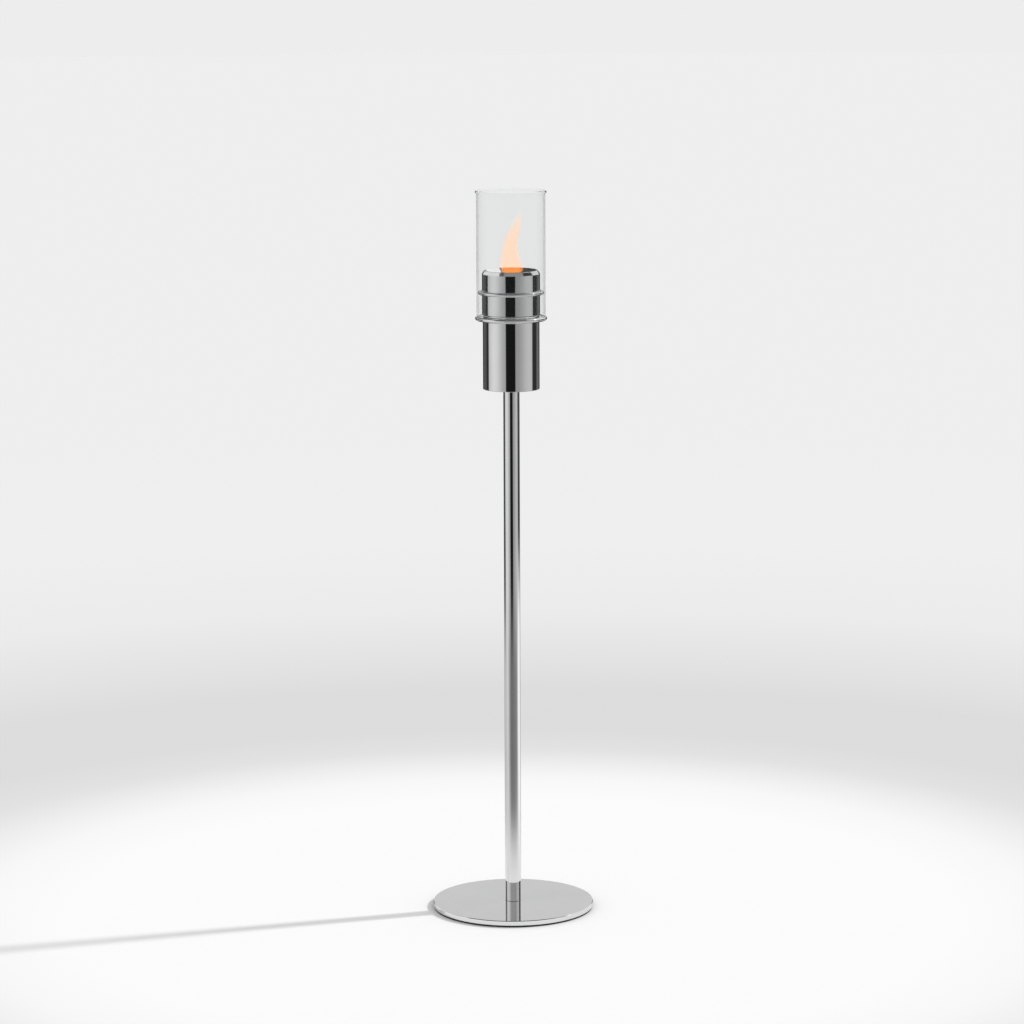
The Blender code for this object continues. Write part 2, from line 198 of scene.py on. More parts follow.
PANELS = (
    (-180.0, 0.055), (-148.0, 0.055), (-143.0, 0.13), (-121.0, 0.08), (-118.0, 0.04), (-106.0, 0.025),
    (-103.5, 0.62), (-92.0, 0.76), (-77.0, 0.87), (-62.0, 0.82), (-49.0, 0.68), (-36.0, 0.52), (-23.0, 0.43),
    (-21.0, 0.012), (16.0, 0.010), (18.0, 0.35), (32.0, 0.39), (47.0, 0.48), (62.0, 0.59), (78.0, 0.64),
    (94.0, 0.58), (97.0, 0.035), (121.0, 0.03), (124.0, 0.09), (140.0, 0.20), (148.0, 0.12), (156.0, 0.055),
    (180.0, 0.055),
)
LOW_CEILING = (
    (-180.0, 0.05), (-168.0, 0.05), (-155.0, 1.0), (-66.0, 1.05), (-61.0, 0.25), (-42.0, 0.16),
    (-36.0, 0.36), (64.0, 0.38), (69.0, 0.05), (107.0, 0.05), (113.0, 0.9), (155.0, 0.9), (168.0, 0.05),
    (180.0, 0.05),
)
HIGH_CEILING = (
    (-180.0, 0.05), (-70.0, 0.08), (-42.0, 0.16), (-36.0, 0.36), (64.0, 0.38), (70.0, 0.08), (94.0, 0.2),
    (102.0, 1.25), (155.0, 1.25), (168.0, 0.05), (180.0, 0.05),
)
ZENITH = 0.055
OVER_STRIPE = 0.42           # in place of the panels' black front stripe, higher up
BACK_WALL = 0.70             # a pale patch straight behind, which the foot plate's top mirrors
BACK_GROUND = 0.06           # dark ground straight behind

# Where one band gives way to the next: elevations in degrees, from the old band's end to the new band's start
NEAR_GROUND_EDGE = (-13.3, -14.9)
DEEP_GROUND_EDGE = (-18.0, -23.0)
ZENITH_EDGE = (61.0, 66.0)

# Edges that rise or fall with azimuth: two azimuths and the edge's elevations there. A blur says how far
# from the edge's elevation the old band ends and the new band starts.
PANEL_FOOT = (60.0, 95.0, -10.4, -9.6)
PANEL_TOP = (35.0, 155.0, 42.0, 6.0)
LOW_CEILING_TOP = (100.0, 160.0, 52.0, 11.0)
PANEL_FOOT_BLUR = (0.0, -1.8)
PANEL_TOP_BLUR = (0.0, 6.0)
LOW_CEILING_TOP_BLUR = (-2.0, 2.0)

# Patches: from nothing to all of the patch, in azimuth to either side of the front and in elevation
OVER_STRIPE_SIDES = (23.0, 20.0)
OVER_STRIPE_FOOT = (6.0, 11.0)
BACK_WALL_SIDES = (164.0, 173.0)
BACK_WALL_FOOT = (1.0, 6.0)
BACK_WALL_TOP = (26.0, 20.0)
BACK_GROUND_SIDES = (148.0, 162.0)
BACK_GROUND_FOOT = (-60.0, -45.0)

# The pale surroundings that everything but the mirrors sees
BACKDROP = 0.847             # straight or through glass
FILL_LIGHT = 0.80            # as light on dull surfaces
IN_WALL_FADE = (10.0, 20.0)  # elevations over which rays turned round in the glass stop seeing the backdrop

# Floor: painted light by distance from the pole, in metres: a pale centre round the torch and a painted shade
# band about 1 to 2.4 metres out, then a paler far tone
FLOOR_PAINTED_LIGHT = (
    (0.0, 0.84), (0.7, 0.83), (0.85, 0.80), (0.95, 0.74), (1.08, 0.65), (1.25, 0.615), (1.6, 0.615),
    (1.85, 0.65), (2.4, 0.71), (3.3, 0.735), (5.0, 0.73),
)
FLOOR_RADIUS = 30.0
FLOOR_DROP = 0.2 * MM        # keeps the floor clear of the foot pad
MIRRORED_FLOOR = (0.1, 0.75)     # distances from a mirror over which it stops showing the floor

# Camera and light
CAMERA_PLACE = (0.0038, -5.68, 1.5806)
CAMERA_TILT = 0.1664         # radians below level
CAMERA_ROLL = 0.0037
CAMERA_LENS = 131.29
CAMERA_SENSOR = 36.0
KEY_STRENGTH = 1.75
KEY_WIDTH = math.radians(2.5)
KEY_AZIMUTH = math.radians(17.0)     # from +X towards +Y
KEY_ELEVATION = math.radians(42.0)


def lowest(node):
    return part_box(node)[0].z


def highest(node):
    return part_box(node)[1].z


def outer_radius(node):
    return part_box(node)[1].x


# ---------------------------------------------------------------- shapes

def rounded(corners, closed=True):
    """An outline through (radius, height, round) corners, with each corner's round as an arc."""
    outline = []
    count = len(corners)
    for number, (radius, height, bend) in enumerate(corners):
        here = Vector((radius, height))
        at_end = not closed and number in (0, count - 1)
        if bend == 0.0 or at_end:
            outline.append(here)
            continue
        before = Vector(corners[number - 1][:2]) - here
        after = Vector(corners[(number + 1) % count][:2]) - here
        half = before.angle(after) / 2.0
        middle = (before.normalized() + after.normalized()).normalized()
        center = here + middle * (bend / math.sin(half))
        start = here + before.normalized() * (bend / math.tan(half)) - center
        sweep = start.angle_signed(here + after.normalized() * (bend / math.tan(half)) - center)
        for step in range(ROUND_STEPS + 1):
            turn_back = Matrix.Rotation(-sweep * step / ROUND_STEPS, 2)
            outline.append(center + turn_back @ start)
    return [tuple(point) for point in outline]


def polygon_radius(radius, sides, angle):
    """Distance from the centre to a regular polygon's side, in the direction of an angle."""
    wedge = FULL_TURN / sides
    return radius * math.cos(wedge / 2.0) / math.cos(angle % wedge - wedge / 2.0)


def turn(outline, steps, closed=True, hexagons=()):
    """A mesh turned about Z. The outline's points whose number is in hexagons lie on a hexagon."""
    mesh = bmesh.new()
    angles = [FULL_TURN * step / steps for step in range(steps)]
    rings = []
    for number, (radius, height) in enumerate(outline):
        if radius < 0.001 * MM:
            rings.append([mesh.verts.new((0.0, 0.0, height))] * steps)
            continue
        ring = []
        for angle in angles:
            reach = polygon_radius(radius, 6, angle) if number in hexagons else radius
            ring.append(mesh.verts.new((reach * math.cos(angle), reach * math.sin(angle), height)))
        rings.append(ring)
    pairs = list(zip(rings, rings[1:]))
    if closed:
        pairs.append((rings[-1], rings[0]))
    for low, high in pairs:
        for step in range(steps):
            after = (step + 1) % steps
            mesh.faces.new(dict.fromkeys((low[step], low[after], high[after], high[step])))
    bmesh.ops.recalc_face_normals(mesh, faces=mesh.faces)
    return mesh


def make_piece(name, mesh_data, look, *nodes):
    """A piece that takes the place of CAD nodes, with the look named like their material slot."""
    mesh = bpy.data.meshes.new(name)
    mesh_data.to_mesh(mesh)
    mesh_data.free()
    mesh.shade_smooth()
    mesh.set_sharp_from_angle(angle=SHARP_ANGLE)
    mesh.materials.append(looks[look])
    piece = bpy.data.objects.new(name, mesh)
    bpy.context.scene.collection.objects.link(piece)
    shading = piece.modifiers.new("even_shading", "WEIGHTED_NORMAL")
    shading.keep_sharp = True
    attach(piece, frame["nodes"][nodes[0]]["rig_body"])
    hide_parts(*nodes)


# ---------------------------------------------------------------- materials

def grey(tone):
    return (tone, tone, tone, 1.0)


class Graph:
    """A node tree, with a short call for each kind of node that the looks use."""

    def __init__(self, tree):
        self.tree = tree
        tree.nodes.clear()

    def node(self, kind, **settings):
        made = self.tree.nodes.new("ShaderNode" + kind)
        for name, value in settings.items():
            setattr(made, name, value)
        return made

    def feed(self, socket, value):
        if isinstance(value, bpy.types.NodeSocket):
            self.tree.links.new(value, socket)
        else:
            socket.default_value = value

    def math(self, operation, first, second=0.0, clamp=False):
        made = self.node("Math", operation=operation, use_clamp=clamp)
        self.feed(made.inputs[0], first)
        self.feed(made.inputs[1], second)
        return made.outputs[0]

    def spread(self, value, low, high, to_low=0.0, to_high=1.0, smooth=False):
        """Map a value from one range to another, without leaving the second."""
        made = self.node("MapRange", interpolation_type="SMOOTHSTEP" if smooth else "LINEAR")
        for name, setting in (
            ("Value", value), ("From Min", low), ("From Max", high), ("To Min", to_low), ("To Max", to_high),
        ):
            self.feed(made.inputs[name], setting)
        return made.outputs[0]

    def ramp(self, value, stops, low=0.0, high=1.0):
        """A colour ramp over (place, brightness or colour) stops, with places from low to high."""
        made = self.node("ValToRGB")
        elements = made.color_ramp.elements
        while len(elements) > 1:
            elements.remove(elements[-1])
        for number, (place, shade) in enumerate(stops):
            share = (place - low) / (high - low)
            element = elements[0] if number == 0 else elements.new(share)
            element.position = share
            element.color = (*shade, 1.0) if isinstance(shade, tuple) else grey(shade)
        self.feed(made.inputs[0], self.spread(value, low, high))
        return made.outputs[0]

    def mix(self, share, first, second):
        made = self.node("Mix", data_type="RGBA")
        self.feed(made.inputs["Factor"], share)
        self.feed(made.inputs["A"], first)
        self.feed(made.inputs["B"], second)
        return made.outputs["Result"]

    def noise(self, place, scale, detail=3.0, roughness=0.5):
        made = self.node("TexNoise")
        self.feed(made.inputs["Vector"], place)
        self.feed(made.inputs["Scale"], scale)
        self.feed(made.inputs["Detail"], detail)
        self.feed(made.inputs["Roughness"], roughness)
        return made.outputs[0]

    def stretched(self, place, scale):
        made = self.node("Mapping")
        self.feed(made.inputs["Vector"], place)
        self.feed(made.inputs["Scale"], scale)
        return made.outputs[0]

    def split(self, vector):
        made = self.node("SeparateXYZ")
        self.feed(made.inputs[0], vector)
        return made.outputs

    def join(self, x, y, z):
        made = self.node("CombineXYZ")
        for socket, value in zip(made.inputs, (x, y, z)):
            self.feed(socket, value)
        return made.outputs[0]

    def bump(self, height, distance):
        made = self.node("Bump")
        self.feed(made.inputs["Height"], height)
        self.feed(made.inputs["Distance"], distance)
        return made.outputs[0]

    def place(self):
        return self.node("TexCoord").outputs["Object"]

    def length(self, x, y):
        return self.math("SQRT", self.math("ADD", self.math("MULTIPLY", x, x), self.math("MULTIPLY", y, y)))

    def lathe_place(self, place):
        """Coordinates whose first two numbers don't change round the Z axis, for marks of turning."""
        x, y, z = self.split(place)[:3]
        angle = self.math("ARCTAN2", y, x)
        return self.join(self.length(x, y), z, self.math("MULTIPLY", angle, 0.004))

    def surface(self, shader):
        self.tree.links.new(shader, self.node("OutputMaterial").inputs["Surface"])


def new_material(name):
    material = bpy.data.materials.new(name)
    material.use_nodes = True
    return material, Graph(material.node_tree)


def principled(graph, **inputs):
    """A Principled shader; an input's name has _ for each space."""
    shader = graph.node("BsdfPrincipled")
    for name, value in inputs.items():
        graph.feed(shader.inputs[name.replace("_", " ")], value)
    return shader.outputs[0]


def metal(name, dark, light, smooth, rough, line_height, smudge_scale=11.0):
    """A turned metal: tone and roughness drift in broad smudges, and fine lathe lines run round the axis."""
    material, graph = new_material(name)
    place = graph.place()
    smudge = graph.noise(place, smudge_scale, 5.0, 0.6)
    lines = graph.noise(graph.lathe_place(place), 2600.0, 3.0, 0.7)
    specks = graph.noise(place, 900.0, 2.0)
    patchy = graph.spread(smudge, 0.38, 0.68)
    height = graph.math("ADD", lines, graph.math("MULTIPLY", specks, 0.5))
    graph.surface(principled(
        graph,
        Base_Color=graph.mix(patchy, (*dark, 1.0), (*light, 1.0)),
        Metallic=1.0,
        Roughness=graph.math("ADD", graph.spread(smudge, 0.35, 0.7, smooth, rough),
                             graph.spread(lines, 0.3, 0.8, 0.0, smooth * 0.4)),
        Normal=graph.bump(height, line_height),
    ))
    return material


def brass_look():
    """Satin brass that the flame has browned towards the tube's top."""
    material, graph = new_material("brass")
    place = graph.place()
    height = graph.split(place)[2]
    smudge = graph.noise(place, 160.0, 5.0, 0.6)
    top = highest("wick_tube")
    level = graph.math("ADD", height, graph.math("MULTIPLY", smudge, HEAT_DRIFT))
    near_flame = graph.spread(level, top - HEAT_START, top + HEAT_END)
    lines = graph.noise(graph.lathe_place(place), 3000.0, 2.0)
    graph.surface(principled(
        graph,
        Base_Color=graph.ramp(near_flame, ((0.0, (0.75, 0.56, 0.26)), (0.5, (0.50, 0.30, 0.13)),
                                           (0.8, (0.16, 0.11, 0.09)), (1.0, (0.05, 0.045, 0.045)))),
        Metallic=1.0,
        Roughness=graph.spread(smudge, 0.3, 0.7, 0.22, 0.42),
        Normal=graph.bump(lines, 0.02 * MM),
    ))
    return material


def zinc_look():
    """Dull zinc plating with a faint crystal pattern."""
    material, graph = new_material("zinc_steel")
    place = graph.place()
    cells = graph.node("TexVoronoi", feature="F1")
    graph.feed(cells.inputs["Vector"], place)
    graph.feed(cells.inputs["Scale"], 420.0)
    spangle = graph.split(cells.outputs["Color"])[0]
    stain = graph.noise(place, 130.0, 5.0, 0.65)
    graph.surface(principled(
        graph,
        Base_Color=graph.mix(graph.spread(stain, 0.35, 0.7),
                             (0.47, 0.48, 0.50, 1.0), (0.62, 0.63, 0.64, 1.0)),
        Metallic=1.0,
        Roughness=graph.spread(graph.math("ADD", spangle, stain), 0.4, 1.5, 0.28, 0.48),
        Normal=graph.bump(graph.noise(place, 1500.0, 3.0), 0.02 * MM),
    ))
    return material


def rubber_look():
    """Matt black rubber with a fine moulded grain and pale dust."""
    material, graph = new_material("rubber")
    place = graph.place()
    dust = graph.noise(place, 70.0, 6.0, 0.7)
    grain = graph.noise(place, 1400.0, 2.0)
    graph.surface(principled(
        graph,
        Base_Color=graph.mix(graph.spread(dust, 0.5, 0.75),
                             (0.012, 0.012, 0.013, 1.0), (0.05, 0.048, 0.045, 1.0)),
        Roughness=graph.spread(grain, 0.3, 0.7, 0.62, 0.85),
        Normal=graph.bump(grain, 0.08 * MM),
    ))
    return material


def wick_look():
    """Braided glass fibre, cream below and burnt black at the top."""
    material, graph = new_material("wick_fibre")
    place = graph.place()
    height = graph.split(place)[2]
    patch = graph.noise(place, 240.0, 4.0, 0.6)
    fibres = graph.noise(graph.stretched(place, (1.0, 1.0, 0.12)), 2800.0, 2.0)
    top = highest("wick")
    drift = graph.math("MULTIPLY", graph.math("SUBTRACT", patch, 0.5), CHAR_DRIFT)
    burnt = graph.spread(graph.math("ADD", height, drift), top - CHAR_START, top - CHAR_END)
    cream = graph.mix(fibres, (0.70, 0.66, 0.56, 1.0), (0.90, 0.88, 0.82, 1.0))
    tone = graph.ramp(burnt, ((0.0, (1.0, 1.0, 1.0)), (0.35, (0.62, 0.45, 0.28)), (0.6, (0.12, 0.09, 0.07)),
                              (1.0, (0.02, 0.018, 0.016))))
    shade = graph.node("Mix", data_type="RGBA", blend_type="MULTIPLY")
    graph.feed(shade.inputs["Factor"], 1.0)
    graph.feed(shade.inputs["A"], cream)
    graph.feed(shade.inputs["B"], tone)
    graph.surface(principled(
        graph,
        Base_Color=shade.outputs["Result"],
        Roughness=graph.spread(fibres, 0.3, 0.7, 0.75, 0.95),
        Normal=graph.bump(fibres, 0.15 * MM),
    ))
    return material


def glass_look():
    """Clear glass with hardly visible drawing waves and a few faint smears. Lamps shine through it.

    The refractive index is below real glass's, which keeps the cylinder's edges and bead thin and pale.
    """
    material, graph = new_material("clear_glass")
    place = graph.place()
    waves = graph.noise(graph.stretched(place, (1.0, 1.0, 0.25)), 30.0, 2.0)
    smears = graph.noise(place, 35.0, 5.0, 0.6)
    glass = principled(
        graph,
        Base_Color=(0.934, 0.940, 0.939, 1.0),
        Roughness=graph.spread(smears, 0.55, 0.8, 0.0, 0.04),
        IOR=1.13,
        Transmission_Weight=1.0,
        Normal=graph.bump(waves, 0.0015 * MM),
    )
    clear = graph.node("BsdfTransparent")
    clear.inputs["Color"].default_value = (0.95, 0.96, 0.96, 1.0)
    chosen = graph.node("MixShader")
    graph.feed(chosen.inputs[0], graph.node("LightPath").outputs["Is Shadow Ray"])
    graph.feed(chosen.inputs[1], glass)
    graph.feed(chosen.inputs[2], clear.outputs[0])
    graph.surface(chosen.outputs[0])
    return material


def flame_look():
    """A thin glowing veil, orange low down and paler towards the tip."""
    material, graph = new_material("flame")
    place = graph.place()
    height = graph.split(place)[2]
    wisps = graph.noise(graph.stretched(place, (1.0, 1.0, 0.35)), 90.0, 3.0)
    base = highest("wick")
    tip = base + FLAME_OUTLINE[-1][0]
    level = graph.spread(height, base, tip)
    glow = graph.ramp(level, ((0.0, (0.97, 0.30, 0.06)), (0.10, (0.95, 0.30, 0.06)),
                              (0.20, (0.60, 0.26, 0.08)), (0.7, (0.55, 0.28, 0.10)),
                              (1.0, (0.55, 0.36, 0.20))))
    fade = graph.math("MULTIPLY", graph.spread(level, 0.6, 1.0, 1.0, 0.8),
                      graph.spread(wisps, 0.3, 0.7, 0.85, 1.1))
    graph.surface(principled(
        graph,
        Base_Color=(0.0, 0.0, 0.0, 1.0),
        Roughness=1.0,
        Specular_IOR_Level=0.0,
        Emission_Color=glow,
        Emission_Strength=FLAME_STRENGTH,
        Alpha=graph.math("MULTIPLY", fade, FLAME_OPACITY),
    ))
    material.cycles.emission_sampling = "NONE"
    return material


# ---------------------------------------------------------------- pieces

def make_foot():
    bottom, top = lowest("base_pad"), highest("base_pad")
    radius = outer_radius("base_pad")
    pad = rounded((
        (PAD_HOLE_RADIUS, bottom, EDGE), (radius, bottom, SOFT_EDGE), (radius, top, EDGE),
        (PAD_HOLE_RADIUS, top, EDGE),
    ))
    make_piece("foot_pad", turn(pad, WIDE_STEPS), "rubber", "base_pad")

    bottom, top = lowest("base_plate"), highest("base_plate")
    radius = outer_radius("base_plate")
    plate = rounded((
        (BOLT_HOLE_RADIUS, top, 0.0), (BOLT_HOLE_RADIUS, COUNTERBORE_TOP, 0.0),
        (COUNTERBORE_RADIUS, COUNTERBORE_TOP, 0.0), (COUNTERBORE_RADIUS, bottom, EDGE),
        (radius, bottom, SOFT_EDGE), (radius, top - PLATE_CHAMFER, NEAT_EDGE),
        (radius - PLATE_CHAMFER, top, NEAT_EDGE),
    ))
    make_piece("foot_plate", turn(plate, WIDE_STEPS), "polished_steel", "base_plate")


def make_bolt(name, node, toward):
    """A button-head bolt with a hexagon socket; toward is +1 for a shank that goes up."""
    head_end = lowest(node) if toward > 0 else highest(node)
    tip = highest(node) if toward > 0 else lowest(node)
    seat = head_end + toward * BOLT_HEAD_HEIGHT
    socket_end = head_end + toward * SOCKET_DEPTH
    outline = [(0.0, socket_end), (SOCKET_RADIUS, socket_end), (SOCKET_RADIUS, head_end)]
    outline += rounded((
        (SOCKET_RADIUS + SOCKET_RIM, head_end, 0.0), (BOLT_HEAD_RADIUS, head_end, BOLT_HEAD_ROUND),
        (BOLT_HEAD_RADIUS, seat, EDGE), (BOLT_RADIUS, seat, 0.0), (BOLT_RADIUS, tip, BOLT_TIP_ROUND),
        (0.0, tip, 0.0),
    ), closed=False)
    make_piece(name, turn(outline, SCREW_STEPS, closed=False, hexagons=(1, 2)), "zinc_steel", node)


def make_washer(name, node):
    bottom, top = lowest(node), highest(node)
    bore, radius = BOLT_RADIUS + GAP, outer_radius(node)
    outline = rounded(((bore, bottom, FINE_EDGE), (radius, bottom, DULL_EDGE), (radius, top, DULL_EDGE),
                       (bore, top, FINE_EDGE)))
    make_piece(name, turn(outline, SCREW_STEPS), "zinc_steel", node)


def make_pole():
    bottom, top = lowest("pole_tube"), highest("pole_tube")
    radius = outer_radius("pole_tube")
    bore = radius - POLE_WALL
    outline = rounded(((bore, bottom, 0.0), (radius, bottom, EDGE), (radius, top, EDGE), (bore, top, 0.0)))
    make_piece("pole", turn(outline, SLIM_STEPS), "polished_steel", "pole_tube")


def make_cup():
    bottom, top = lowest("holder_cup"), highest("holder_cup")
    radius = outer_radius("holder_cup")
    bore, floor = radius - CUP_WALL, bottom + CUP_FLOOR
    outline = rounded((
        (BOLT_HOLE_RADIUS, floor, 0.0), (BOLT_HOLE_RADIUS, bottom, 0.0), (radius, bottom, CUP_ROUND),
        (radius, top, EDGE), (bore, top, EDGE), (bore, floor, CUP_INNER_ROUND),
    ))
    make_piece("cup", turn(outline, WIDE_STEPS), "polished_steel", "holder_cup")


def make_ring(name, node, wall_radius):
    """A wire ring and the three pins that carry it, each flared where it is welded on."""
    bottom, top = lowest(node), highest(node)
    wire, level = (top - bottom) / 2.0, (top + bottom) / 2.0
    ring_radius = outer_radius(node) - wire
    section = []
    for step in range(WIRE_STEPS):
        angle = FULL_TURN * step / WIRE_STEPS
        section.append((ring_radius + wire * math.cos(angle), level + wire * math.sin(angle)))
    make_piece(name, turn(section, WIDE_STEPS), "polished_steel", node)
    reach = ring_radius - wire * PIN_END_SHARE - wall_radius
    flare = PIN_WELD_RADIUS - PIN_RADIUS
    profile = rounded((
        (0.0, -PIN_ROOT, 0.0), (PIN_WELD_RADIUS, -PIN_ROOT, 0.0), (PIN_WELD_RADIUS, WELD_HEIGHT, 0.0),
        (PIN_RADIUS, flare, FLARE_ROUND), (PIN_RADIUS, reach - flare, FLARE_ROUND),
        (PIN_WELD_RADIUS, reach, 0.0), (0.0, reach, 0.0),
    ), closed=False)
    for number, angle in enumerate(PIN_ANGLES, start=1):
        pin = turn(profile, SCREW_STEPS, closed=False)
        swing = Matrix.Rotation(math.radians(angle), 4, "Z")
        move = Matrix.Translation((wall_radius, 0.0, level))
        pin.transform(swing @ move @ Matrix.Rotation(math.radians(90.0), 4, "Y"))
        make_piece(f"{name}_pin_{number}", pin, "polished_steel", f"{node}_pin_{number}")


def make_oil_can():
    bottom, top = lowest("oil_can"), highest("oil_can")
    bore, flange = CAN_RADIUS - CAN_WALL, outer_radius("oil_can")
    under = top - FLANGE_THICKNESS
    outline = rounded((
        (0.0, bottom, 0.0), (CAN_RADIUS, bottom, CAN_CORNER), (CAN_RADIUS, under, DULL_EDGE),
        (flange, under, EDGE), (flange, top, EDGE), (bore, top, SOFT_EDGE),
        (bore, bottom + CAN_WALL, CAN_CORNER - CAN_WALL), (0.0, bottom + CAN_WALL, 0.0),
    ), closed=False)
    make_piece("reservoir", turn(outline, WIDE_STEPS, closed=False), "plain_steel", "oil_can")


def make_burner():
    bottom, top = lowest("burner_head"), highest("burner_head")
    radius = outer_radius("burner_head")
    bore = radius - SLEEVE_WALL
    bend, shoulder_top = top - SHOULDER_DROP, top - SHOULDER_DROP + SHOULDER_RISE
    cone_top = top - FUNNEL_LIP_DROP
    seat = cone_top - (FUNNEL_TOP_RADIUS - FUNNEL_SEAT_RADIUS)
    cone_offset = FUNNEL_WALL * math.sqrt(2.0)
    outline = rounded((
        (bore, bottom, CRISP_EDGE), (bore + SLEEVE_LOW_FACE, bottom, CRISP_EDGE),
        (radius, bottom + SLEEVE_LOW_CHAMFER, SOFT_EDGE), (radius, bend, SOFT_EDGE),
        (radius - SHOULDER_INSET, shoulder_top, FINE_EDGE), (RIM_OUTER_RADIUS, top, FINE_EDGE),
        (RIM_INNER_RADIUS, top, CRISP_EDGE), (FUNNEL_TOP_RADIUS, cone_top, CRISP_EDGE),
        (FUNNEL_SEAT_RADIUS, seat, FUNNEL_BEND), (FUNNEL_HOLE_RADIUS, seat, EDGE),
        (FUNNEL_HOLE_RADIUS, seat - FUNNEL_WALL, EDGE),
        (FUNNEL_SEAT_RADIUS - FUNNEL_WALL + cone_offset, seat - FUNNEL_WALL, FUNNEL_BEND),
        (UNDER_RIM_RADIUS, UNDER_RIM_RADIUS + cone_top - FUNNEL_TOP_RADIUS - cone_offset, 0.0),
        (bore, bend - INNER_BEND_DROP, SOFT_EDGE),
    ))
    make_piece("burner_shell", turn(outline, WIDE_STEPS), "polished_steel", "burner_head")


def make_wick_holder():
    bottom, top = lowest("collar_gasket"), highest("collar_gasket")
    radius = outer_radius("collar_gasket")
    gasket = rounded(((GASKET_INNER_RADIUS, bottom, EDGE), (radius, bottom, EDGE), (radius, top, EDGE),
                      (GASKET_INNER_RADIUS, top, EDGE)))
    make_piece("gasket", turn(gasket, SLIM_STEPS), "rubber", "collar_gasket")

    bottom, top = lowest("wick_collar"), highest("wick_collar")
    radius, hole = outer_radius("wick_collar"), outer_radius("wick_tube") + COLLAR_FIT
    collar = rounded(((hole, bottom, CRISP_EDGE), (radius, bottom, COLLAR_CHAMFER),
                      (radius, top, COLLAR_CHAMFER), (hole, top, CRISP_EDGE)))
    make_piece("collar", turn(collar, SLIM_STEPS), "polished_steel", "wick_collar")

    bottom, top = lowest("wick_tube"), highest("wick_tube")
    radius = outer_radius("wick_tube")
    bore = radius - WICK_TUBE_WALL
    tube = rounded(((bore, bottom, EDGE), (radius, bottom, EDGE), (radius, top, EDGE), (bore, top, EDGE)))
    make_piece("tube", turn(tube, SLIM_STEPS), "brass", "wick_tube")


def braid(angle, height):
    """0 in the grooves of a braided rope and 1 on its strands' crowns."""
    around = BRAID_STRANDS * angle / FULL_TURN
    along = BRAID_STRANDS * height / BRAID_PITCH
    rising, falling = around + along, around - along
    over = (math.floor(rising) + math.floor(falling)) % 2 == 0
    return abs(math.sin(math.pi * (rising if over else falling)))


def make_wick():
    bottom, top = lowest("wick"), highest("wick")
    radius = outer_radius("wick")
    mesh = bmesh.new()
    rings = []
    for row in range(BRAID_ROWS + 1):
        height = bottom + (top - bottom) * row / BRAID_ROWS
        pull = math.sqrt(1.0 - max(0.0, 1.0 - (top - height) / WICK_END_ROUND) ** 2)
        slim = WICK_END_SHARE + (1.0 - WICK_END_SHARE) * pull
        ring = []
        for step in range(BRAID_STEPS):
            angle = FULL_TURN * step / BRAID_STEPS
            reach = (radius - BRAID_DEPTH * (1.0 - braid(angle, height))) * slim
            ring.append(mesh.verts.new((reach * math.cos(angle), reach * math.sin(angle), height)))
        rings.append(ring)
    for low, high in zip(rings, rings[1:]):
        for step in range(BRAID_STEPS):
            after = (step + 1) % BRAID_STEPS
            mesh.faces.new((low[step], low[after], high[after], high[step]))
    for ring, dip in ((rings[0], 0.0), (rings[-1], WICK_END_DIP)):
        inner = []
        for x, y, z in [vertex.co for vertex in ring]:
            inner.append(mesh.verts.new((x * WICK_HOLLOW_SHARE, y * WICK_HOLLOW_SHARE, z - dip)))
        for step in range(BRAID_STEPS):
            after = (step + 1) % BRAID_STEPS
            mesh.faces.new((ring[step], ring[after], inner[after], inner[step]))
        mesh.faces.new(inner)
    bmesh.ops.recalc_face_normals(mesh, faces=mesh.faces)
    make_piece("braided_wick", mesh, "wick_fibre", "wick")


def make_glass():
    bottom, top = lowest("glass_chimney"), highest("glass_chimney")
    bore, bead = GLASS_RADIUS - GLASS_WALL, outer_radius("glass_chimney")
    outline = rounded((
        (bore, bottom, GLASS_FOOT_ROUND), (GLASS_RADIUS, bottom, GLASS_FOOT_ROUND),
        (GLASS_RADIUS, top - GLASS_BEAD_HEIGHT - GLASS_BEAD_SLOPE, GLASS_NECK_ROUND),
        (bead, top - GLASS_BEAD_HEIGHT + GLASS_BEAD_SLOPE, GLASS_BEAD_ROUND),
        (bead, top, GLASS_LIP_ROUND), (bore, top, GLASS_BEAD_ROUND),
    ))
    make_piece("glass_cylinder", turn(outline, WIDE_STEPS), "clear_glass", "glass_chimney")


def smooth_between(points, place):
    """The Catmull-Rom curve through (place, value, value) points, at a place."""
    last = len(points) - 2
    start = 0
    while start < last and points[start + 1][0] < place:
        start += 1
    before, low = points[max(start - 1, 0)], points[start]
    high, after = points[start + 1], points[min(start + 2, last + 1)]
    share = (place - low[0]) / (high[0] - low[0])
    values = []
    for a, b, c, d in zip(before[1:], low[1:], high[1:], after[1:]):
        bend = (2.0 * a - 5.0 * b + 4.0 * c - d) * share ** 2 + (3.0 * b - a - 3.0 * c + d) * share ** 3
        values.append(0.5 * (2.0 * b + (c - a) * share + bend))
    return values


